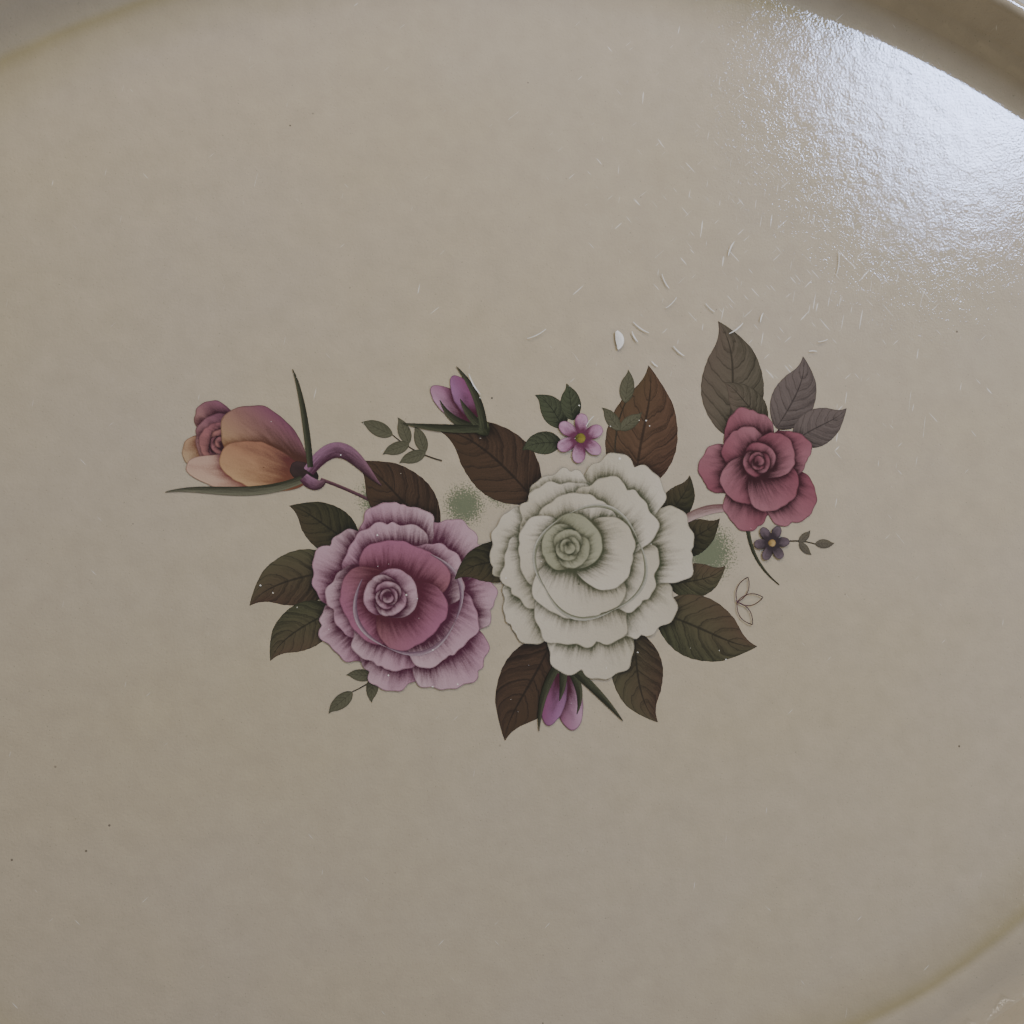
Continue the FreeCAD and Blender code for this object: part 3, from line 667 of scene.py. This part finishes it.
leafInks = {
    "brown": {"pale": ("#6d5848", "#5b4a36"), "deep": ("#38281a", "#2d2114")},
    "red": {"pale": ("#816655", "#6a5a41"), "deep": ("#4a3426", "#3c3420")},
    "dark": {"pale": ("#585a40", "#5f543f"), "deep": ("#292b17", "#2e2617")},
    "green": {"pale": ("#6c7054", "#6f5c4b"), "deep": ("#333621", "#3d2e20")},
    "greenBrown": {"pale": ("#6b6b52", "#6f5848"), "deep": ("#34351f", "#3d2b20"), "lightSide": -1},
    "greyGreen": {"pale": ("#7b7665", "#766a5d"), "deep": ("#4a4736", "#4d4133")},
    "grey": {"pale": ("#857b74", "#7c716a"), "deep": ("#544a45", "#4f4540")},
    "small": {"pale": ("#6c705a", "#5c624a"), "deep": ("#2c331f", "#2f3522"), "teeth": 0.0},
    "sprig": {"pale": ("#7e7d68", "#716f5b"), "deep": ("#55543f", "#4c4936"), "teeth": 0.0},
    "greySprig": {"pale": ("#827b6e", "#77715f"), "deep": ("#5a5547", "#524c3f"), "teeth": 0.0},
}

bigLeaves = {       # round each flower: angle of the foot, lean from that angle, length in mm, ink
    "mauveRose": [(150, 40, 30, "greenBrown"), (128, 10, 25, "dark"), (182, 25, 25, "green"),
        (62, 65, 34, "brown")],
    "whiteRose": [(128, 5, 38, "brown"), (52, 20, 42, "red"), (25, 20, 18, "dark"), (2, 20, 20, "dark"),
                  (-20, 25, 20, "green"), (-42, 12, 36, "green"), (-62, -25, 30, "greenBrown"),
                  (-122, -5, 36, "brown")],
    "duskyRose": [(128, -45, 38, "greyGreen"), (75, 50, 20, "greyGreen"), (62, -5, 26, "grey"),
        (35, -15, 22, "grey")],
    "pinkFlower": [(145, -25, 14, "small"), (105, -15, 12, "small"), (190, -10, 13, "small")],
}
sprigs = [          # foot, heading and length in mm, pairs of leaflets, ink
    ((-18, 23), 148, 25, 3, "sprig"),
    ((38, 20), 74, 26, 2, "sprig"),
    ((-38, -38), 212, 23, 2, "sprig"),
    ((92, -12), -8, 16, 2, "greySprig"),
]
stemInks = {
    "twig": {"pale": ("#6f6653", "#5d5643"), "deep": ("#3c3325", "#352e20")},
    "green": {"pale": ("#5f634c", "#6a6a55"), "deep": ("#30341f", "#363823")},
    "plum": {"pale": ("#8b6a72", "#6f5a58"), "deep": ("#54293a", "#3f2a2c")},
    "lilac": {"pale": ("#bdb0b0", "#b3a2a6"), "deep": ("#80606e", "#76566a")},
    "cream": {"pale": ("#c4c0b4", "#c0bcae"), "deep": ("#85866f", "#7f8069")},
    "blushPlum": {"pale": ("#a9879a", "#8f7078"), "deep": ("#5c2a46", "#4a2a34")},
    "paleGreen": {"pale": ("#84836f", "#8c8a78"), "deep": ("#42442f", "#4c4a38")},
    "chalk": {"pale": ("#efede6", "#e8e6df"), "deep": ("#d8d6cd", "#d2d0c6")},
    "blush": {"pale": ("#b39a97", "#c0b3a9"), "deep": ("#7d5557", "#8b7a70")},
}
leafPrint = printedInk("printed leaf ink", True)
petalPrint = printedInk("printed petal ink", False)


def rose(name, look, rings, turns):
    # rings of petals outside in: petal k stands at turn + 360 k / count, its size waving as sin(2.3 k),
    # and the rings close in on the heart, which is set off the middle
    flower = flowers[name]
    petals = []
    for count, away, half, side, own in rings:
        drift = 1 - away / rings[0][1]
        cx = flower["x"] + flower["heart"][0] * flower["size"] * drift
        cy = flower["y"] + flower["heart"][1] * flower["size"] * drift
        for k in range(count):
            angle = flower["turn"] + 360 * k / count + 200 * away
            wave = 1 + 0.13 * sin(2.3 * k + flower["turn"])
            reach = flower["size"] * away * wave
            petals.append((cx + reach * cos(radians(angle)), cy + reach * sin(radians(angle)),
                flower["size"] * half,
                           flower["size"] * side * wave, angle + 12 * sin(1.7 * k), {**look, **own}))
    heart = (flower["x"] + flower["heart"][0] * flower["size"],
        flower["y"] + flower["heart"][1] * flower["size"])
    return petals + whorl(*heart, flower["size"] * 0.30, flower["turn"], turns, {**look, **look["inner"]})


def budPoint(name, along, aside):
    # a point of a bud: shares of its length along its heading and to the left of it
    flower = flowers[name]
    c, d = cos(radians(flower["turn"])) * flower["size"], sin(radians(flower["turn"])) * flower["size"]
    return flower["x"] + along * c - aside * d, flower["y"] + along * d + aside * c


def bud(name, look, parts, turns):
    # side view of a bud: each petal's middle, half length and half width are shares of the bud's length
    size, turn = flowers[name]["size"], flowers[name]["turn"]
    petals = [(*budPoint(name, along, aside), half * size, side * size, turn + lean, {**look, **own})
              for along, aside, half, side, lean, own in parts]
    if turns:
        heart = whorl(*budPoint(name, 0.76, 0.05), 0.18 * size, turn, turns, {**look, **look["inner"]})
        petals = petals[:3] + heart + petals[3:]
    return petals


def budCurve(name, points, widths, ink):
    # a sepal: Bezier points in shares of the bud's length, widths in mm
    return [budPoint(name, *point) for point in points], widths, ink


def flowerlet(name, count, look, eye):
    # one petal every 360 / count degrees, half a size from the middle, and a round eye
    flower = flowers[name]
    ring = [(*around(name, flower["turn"] + 360 * k / count, 0.58), flower["size"] * 0.44,
        flower["size"] * 0.30,
             flower["turn"] + 360 * k / count, look) for k in range(count)]
    return ring + [(flower["x"], flower["y"], flower["size"] * 0.22, flower["size"] * 0.22, 0,
        {**look, **eye})]


whiteRose = {"pale": ("#c9c2b2", "#bdb6a3"), "deep": ("#575d45", "#63634c"), "ruffle": 0.1, "power": 0.8,
    "rim": 1.2,
             "lift": 0.18, "overlap": 0.75, "reach": 2.6,
             "inner": {"ruffle": 0.02, "power": 1.0, "lift": 0.05, "reach": 1.1, "overlap": 0.5,
                       "deep": ("#4f553c", "#5a5b42"), "pale": ("#aeac96", "#a2a18a")}}
mauveRose = {"pale": ("#c2adae", "#b898a2"), "deep": ("#5c1a40", "#66244a"), "ruffle": 0.09, "power": 1.4,
    "rim": 1.15,
             "overlap": 0.5, "reach": 2.6, "inner": {"ruffle": 0.02, "lift": -0.1, "reach": 1.0}}
duskyRose = {"pale": ("#a88084", "#94606a"), "deep": ("#471426", "#551f33"), "ruffle": 0.06, "power": 0.95,
    "rim": 0.7,
             "inner": {"lift": -0.1, "ruffle": 0.02, "reach": 0.9}}
peachBud = {"pale": ("#b3927f", "#b39c80"), "deep": ("#6c3540", "#6a3338"), "ruffle": 0.04, "power": 0.9,
    "rim": 0.8,
            "fold": 0.16, "inner": {"deep": ("#43102c", "#4d1730"), "pale": ("#a3767c", "#a88078"),
                "lift": -0.05, "reach": 0.8}}
smallBud = {"pale": ("#96657e", "#bfa4b0"), "deep": ("#5f2440", "#5b2440"), "ruffle": 0.03, "power": 0.9,
    "rim": 0.7}
calyx = {"pale": ("#77795c", "#5f6446"), "deep": ("#3a3f25", "#2b301b")}
pinkFlower = {"pale": ("#bfa3b0", "#b591a3"), "deep": ("#7a4560", "#7a4560"), "ruffle": 0.02, "power": 0.6,
    "rim": 1.0}
greyFlower = {"pale": ("#837579", "#776a6d"), "deep": ("#4c4045", "#4c4045"), "ruffle": 0.02, "power": 0.7,
    "rim": 0.5}
warmFace = {"pale": ("#9a7270", "#a87a8c"), "deep": ("#652a3c", "#6a2448"), "across": 0.4, "rim": 0.8}

roseRings = [       # petals, distance, half length, half width as shares of the flower's size, own look
    (7, 0.64, 0.38, 0.42, {}),
    (5, 0.42, 0.38, 0.46, {}),
    (4, 0.26, 0.32, 0.44, {"ruffle": 0.04}),
]
mauveRings = roseRings[:1] + [(5, 0.42, 0.38, 0.46, {"power": 1.6}),
    (3, 0.24, 0.34, 0.50, {**warmFace, "ruffle": 0.04})]
duskyRings = [(5, 0.56, 0.46, 0.48, {"point": 0.12}), (4, 0.32, 0.42, 0.46, {"ruffle": 0.04})]
peachParts = [      # along, aside, half length, half width as shares of the bud's length, lean, own look
    (0.84, 0.16, 0.22, 0.16, 25, {"pale": ("#b59a80", "#b8a88c"), "deep": ("#7a4a40", "#8a6a50"),
        "rim": 1.1}),
    (0.86, -0.10, 0.22, 0.17, -15, {"pale": ("#93687a", "#ab8c80"), "deep": ("#4a1434", "#5c2236"),
        "rim": 1.1}),
    (0.74, 0.02, 0.26, 0.25, 0, {"pale": ("#93687a", "#ab8c80"), "deep": ("#4a1434", "#5c2236"), "rim": 1.1}),
    (0.52, 0.24, 0.38, 0.17, 14, {"pale": ("#bda596", "#c4ae9a"), "deep": ("#74384a", "#8f6050"),
        "point": 0.2, "rim": 1.1}),
    (0.40, -0.06, 0.42, 0.32, -18, {"pale": ("#8a5872", "#b8a27e"), "deep": ("#421032", "#86603f"),
        "point": 0.1, "power": 0.75}),
    (0.36, 0.10, 0.38, 0.22, 6, {"pale": ("#a8826c", "#bfa684"), "deep": ("#6a3340", "#8d6648"),
        "power": 0.8, "rim": 1.0}),
    (0.03, 0.00, 0.13, 0.09, 0, {"pale": ("#5a4446", "#4a3a33"), "deep": ("#2d1620", "#2b1c18")}),
]
smallParts = [
    (0.50, 0.10, 0.40, 0.20, 12, {"point": 0.12}),
    (0.46, -0.08, 0.38, 0.18, -10, {"pale": ("#8c5272", "#a886a0"), "point": 0.12}),
    (0.05, 0.00, 0.15, 0.13, 0, calyx),
]
smallSepals = [[(0.0, 0.0), (0.35, 0.34), (0.72, 0.22)], [(0.0, 0.0), (0.3, 0.05), (0.55, -0.02)],
               [(0.0, 0.0), (0.4, -0.30), (0.95, -0.28)], [(0.05, 0.05), (0.4, 0.5), (0.8, 0.85)]]
blooms = {
    "printed_peach_bud": bud("peachBud", peachBud, peachParts, 6),
    "printed_dusky_rose": rose("duskyRose", duskyRose, duskyRings, 6),
    "printed_small_buds": bud("topBud", smallBud, smallParts, 0) + bud("lowBud", smallBud, smallParts, 0),
    "printed_mauve_rose": rose("mauveRose", mauveRose, mauveRings, 8),
    "printed_white_rose": rose("whiteRose", whiteRose, roseRings, 8),
    "printed_pink_flower": flowerlet("pinkFlower", 6, pinkFlower,
        {"pale": ("#a39a52", "#8d863f"), "deep": ("#5d5a2a", "#5d5a2a")}),
    "printed_grey_flower": flowerlet("greyFlower", 6, greyFlower,
        {"pale": ("#c4ae84", "#b39b6c"), "deep": ("#86703f", "#86703f")}),
}
everyPetal = [spec for group in blooms.values() for spec in group]

# curves drawn over each bloom: sepals of the buds and rolled edges of the big roses
overBloom = {
    "printed_peach_bud": [
        budCurve("peachBud", [(0.0, -0.02), (-0.10, -0.50), (-0.35, -0.25), (-0.62, -0.16)],
            (3.6, 7.4, 0.2), "blushPlum"),
        budCurve("peachBud", [(0.02, 0.06), (0.35, 0.42), (0.75, 0.42), (1.02, 0.62)], (2.4, 4.0, 0.2),
            "paleGreen"),
        budCurve("peachBud", [(0.0, -0.06), (0.16, -0.36), (0.35, -0.66), (0.48, -0.78)], (1.8, 2.4, 0.2),
            "green"),
        budCurve("peachBud", [(0.02, 0.04), (-0.12, 0.10), (-0.16, 0.0)], (3.0, 5.0, 1.0), "blushPlum"),
    ],
    "printed_small_buds": [budCurve(name, points, (2.4, 3.4, 0.2), "green")
        for name in ("topBud", "lowBud") for points in smallSepals],
    "printed_mauve_rose": [([around("mauveRose", a, r) for a,
        r in ((t, 0.55), (t - 45, 0.78), (t - 90, 0.55))], (0.2, 2.6, 0.2), "lilac")
                           for t in (60, 330, 240)],
    "printed_white_rose": [([around("whiteRose", a, r) for a,
        r in ((t, 0.50), (t - 45, 0.74), (t - 90, 0.50))], (0.2, 2.4, 0.2), "cream")
                           for t in (110, 20, 290, 210)],
}


def bowed(start, end, bow):
    # quadratic curve from start to end, its middle point off the straight line by a share of its length
    start, end = np.array(start, float), np.array(end, float)
    run = end - start
    return [start, (start + end) / 2 + bow * np.array([-run[1], run[0]]), end]


def sprig(foot, heading, length, pairs, ink):
    # a thin stem with leaflets in pairs at even steps, turned 45 degrees out, and one at its tip
    tip = (foot[0] + length * 0.7 * cos(radians(heading)), foot[1] + length * 0.7 * sin(radians(heading)))
    pieces["printed_stems"].append(stemLine(bowed(foot, tip, 0.12), (0.5, 0.3), stemInks["twig"]))
    spots = [(k / pairs, heading + 45 * way) for k in range(1, pairs) for way in (-1, 1)] + [(1.0, heading)]
    for share, angle in spots:
        base = (foot[0] + (tip[0] - foot[0]) * share, foot[1] + (tip[1] - foot[1]) * share)
        reach = length * (0.36 if share < 1 else 0.42)
        end = (base[0] + reach * cos(radians(angle)), base[1] + reach * sin(radians(angle)))
        pieces["printed_leaves"].append(leaf(base, end, reach * 0.22, leafInks[ink], 0.15, everyPetal))


stems = [           # start, end, bow, widths in mm, ink
    (budPoint("peachBud", -0.12, 0.0), around("mauveRose", 60, 0.7), 0.08, (1.1, 0.9), "plum"),
    (budPoint("topBud", 0.0, 0.0), around("whiteRose", 120, 0.9), 0.04, (0.8, 1.0), "twig"),
    (around("mauveRose", 150, 1.05), around("mauveRose", 150, 0.5), 0.1, (0.8, 0.6), "twig"),
    (around("duskyRose", 60, 1.7), around("duskyRose", 60, 0.6), 0.1, (0.5, 0.6), "plum"),
    (around("duskyRose", -120, 0.7), around("whiteRose", 15, 0.8), -0.25, (1.2, 5.0, 1.2), "blush"),
    (around("duskyRose", -110, 0.8), around("duskyRose", -85, 1.9), -0.25, (1.4, 1.2, 0.3), "green"),
]
pieces = {name: [] for name in ["printed_leaves", "printed_stems", "enamel_chips"] + list(blooms)}
for start, end, bow, widths, kind in stems[:4]:
    pieces["printed_stems"].append(stemLine(bowed(start, end, bow), widths, stemInks[kind]))
for name, ring in bigLeaves.items():
    for k, (angle, lean, length, kind) in enumerate(ring):
        base = around(name, angle, 0.78)
        tip = (base[0] + length * cos(radians(angle + lean)), base[1] + length * sin(radians(angle + lean)))
        bend = 0.16 if k % 2 else -0.16
        pieces["printed_leaves"].append(leaf(base, tip, length * 0.28, leafInks[kind], bend, everyPetal))
for row in sprigs:
    sprig(*row)
for start, end, bow, widths, kind in stems[4:]:
    pieces["printed_stems"].append(stemLine(bowed(start, end, bow), widths, stemInks[kind]))
for name, group in blooms.items():
    if name == "printed_white_rose":        # one dark leaf lies between the two big roses
        base, tip = around("whiteRose", 175, 0.6), around("whiteRose", 178, 1.3)
        pieces["printed_leaves"].append(leaf(base, tip, 6.5, leafInks["dark"], -0.2, group))
    for k, spec in enumerate(group):
        pieces[name].append(petal(*spec, group[k + 1:]))
    for path, widths, kind in overBloom.get(name, []):
        pieces[name].append(stemLine(path, widths, stemInks[kind]))

# a small outlined sprig: three leaf outlines from one foot, each two bowed lines
outlineFoot = around("whiteRose", -20, 1.48)
for angle in (60, 5, -60):
    tip = (outlineFoot[0] + 9 * cos(radians(angle)), outlineFoot[1] + 9 * sin(radians(angle)))
    for way in (0.42, -0.42):
        pieces["printed_stems"].append(stemLine(bowed(outlineFoot, tip, way), (0.28, 0.28),
            stemInks["plum"], 24))

# chips and rubs in the enamel, strewn over a worn patch
wear = {"count": 16, "x": 62, "y": 62, "spread": (38, 14), "seed": 8}
strewn = np.random.default_rng(wear["seed"])
for k in range(wear["count"]):
    x, y = wear["x"] + wear["spread"][0] * strewn.normal(), wear["y"] + wear["spread"][1] * strewn.normal()
    angle, length, width = strewn.uniform(0, 2 * pi), strewn.uniform(2, 9), strewn.uniform(0.3, 0.9)
    end = (x + length * cos(angle), y + length * sin(angle))
    pieces["enamel_chips"].append(stemLine(bowed((x, y), end, 0.12), (0.2, width, 0.2), stemInks["chalk"],
        30))
flake = {"x": 42, "y": 58, "length": 6, "width": 5}       # the one large flake
flakeEnds = [(flake["x"], flake["y"] + way * flake["length"] / 2) for way in (1, -1)]
flakeLine = stemLine(bowed(*flakeEnds, 0.3), (1.0, flake["width"], 0.4), stemInks["chalk"], 30)
pieces["enamel_chips"].append(flakeLine)

for name, grids in pieces.items():
    gridMesh(name, grids, leafPrint if name == "printed_leaves" else petalPrint, "tray")
print("rose spray printed in", layerCount[0], "layers")


# light and floor

def areaLight(name, place, aim, size, power, colour):
    # a soft rectangular light turned to face a point
    data = bpy.data.lights.new(name, "AREA")
    data.shape = "RECTANGLE"
    data.size, data.size_y = size
    data.energy = power
    data.color = toLinear(colour)[:3]
    light = bpy.data.objects.new(name, data)
    light.location = place
    light.rotation_euler = (Vector(aim) - Vector(place)).to_track_quat("-Z", "Y").to_euler()
    bpy.context.scene.collection.objects.link(light)
    return light


areaLight("window light", (0.655, 0.48, floorTop + 0.65), floorCentre + Vector((0.16, 0.12, 0)),
                        (0.25, 0.25), 8.5, "#b9ccff")
farLight = areaLight("far light", (0.1, 0.68, floorTop + 0.36), floorCentre, (1.0, 0.25), 6.4, "#fff2de")
farLight.visible_glossy = False      # it fills, and leaves no glare over the print
areaLight("room light", (0.95, -0.5, floorTop + 0.5), floorCentre, (0.5, 0.5), 4.5, "#fff0dc")

for side, place in (("left", (-2.7, -2.4, 1.6)), ("right", (3.0, -1.9, 1.6)), ("back", (-1.5, 3.3, 1.5))):
    areaLight(side + " strip", place, (0, 0, 0.4), (0.6, 1.8), 15, "#fff6ea")

world = bpy.data.worlds.new("room")
bpy.context.scene.world = world
world.use_nodes = True
world.node_tree.nodes["Background"].inputs["Color"].default_value = toLinear("#e9e7e2")
world.node_tree.nodes["Background"].inputs["Strength"].default_value = 0.31

floorHalf = 15.0
floorMesh = bpy.data.meshes.new("floor")
quad = np.array([[-1, -1, 0], [1, -1, 0], [1, 1, 0], [-1, 1, 0]]) * floorHalf
floorMesh.from_pydata(quad.tolist(), [], [[0, 1, 2, 3]])
floorPaint, _, floorShader = newMaterial("pale floor")
floorShader.inputs["Base Color"].default_value = toLinear("#cfccc6")
floorShader.inputs["Roughness"].default_value = 0.7
floorMesh.materials.append(floorPaint)
ground = bpy.data.objects.new("floor", floorMesh)
bpy.context.scene.collection.objects.link(ground)
print("lights and floor ready")
